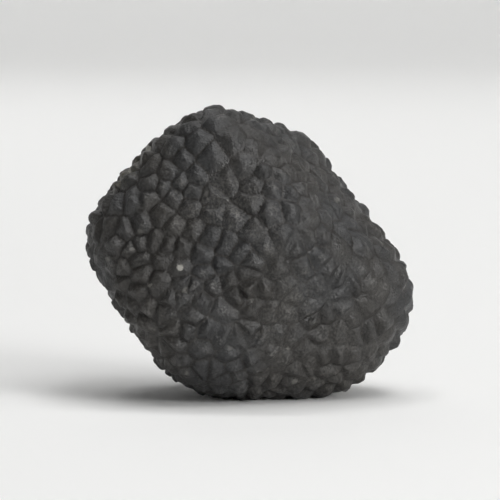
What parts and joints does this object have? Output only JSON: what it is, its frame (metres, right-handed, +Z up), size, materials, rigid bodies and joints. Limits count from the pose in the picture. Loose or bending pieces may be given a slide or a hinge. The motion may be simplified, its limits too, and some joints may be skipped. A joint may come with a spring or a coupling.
{
  "type": "black truffle",
  "caption": "Whole black truffle: a rounded, uneven lump with flattened sides, covered all over in low many-sided warts, resting on a small flat spot.",
  "frame": {"origin": "the point of the surface it rests on that lies under the middle of its box", "axes": "+Z up, +X its longest way across, towards the right of its front, -Y towards its front"},
  "size_m": [0.0292, 0.0256, 0.0257],
  "materials": {
    "rind": "matte"
  },
  "bodies": {
    "root": {"truffle": "rind"}
  },
  "joints": []
}
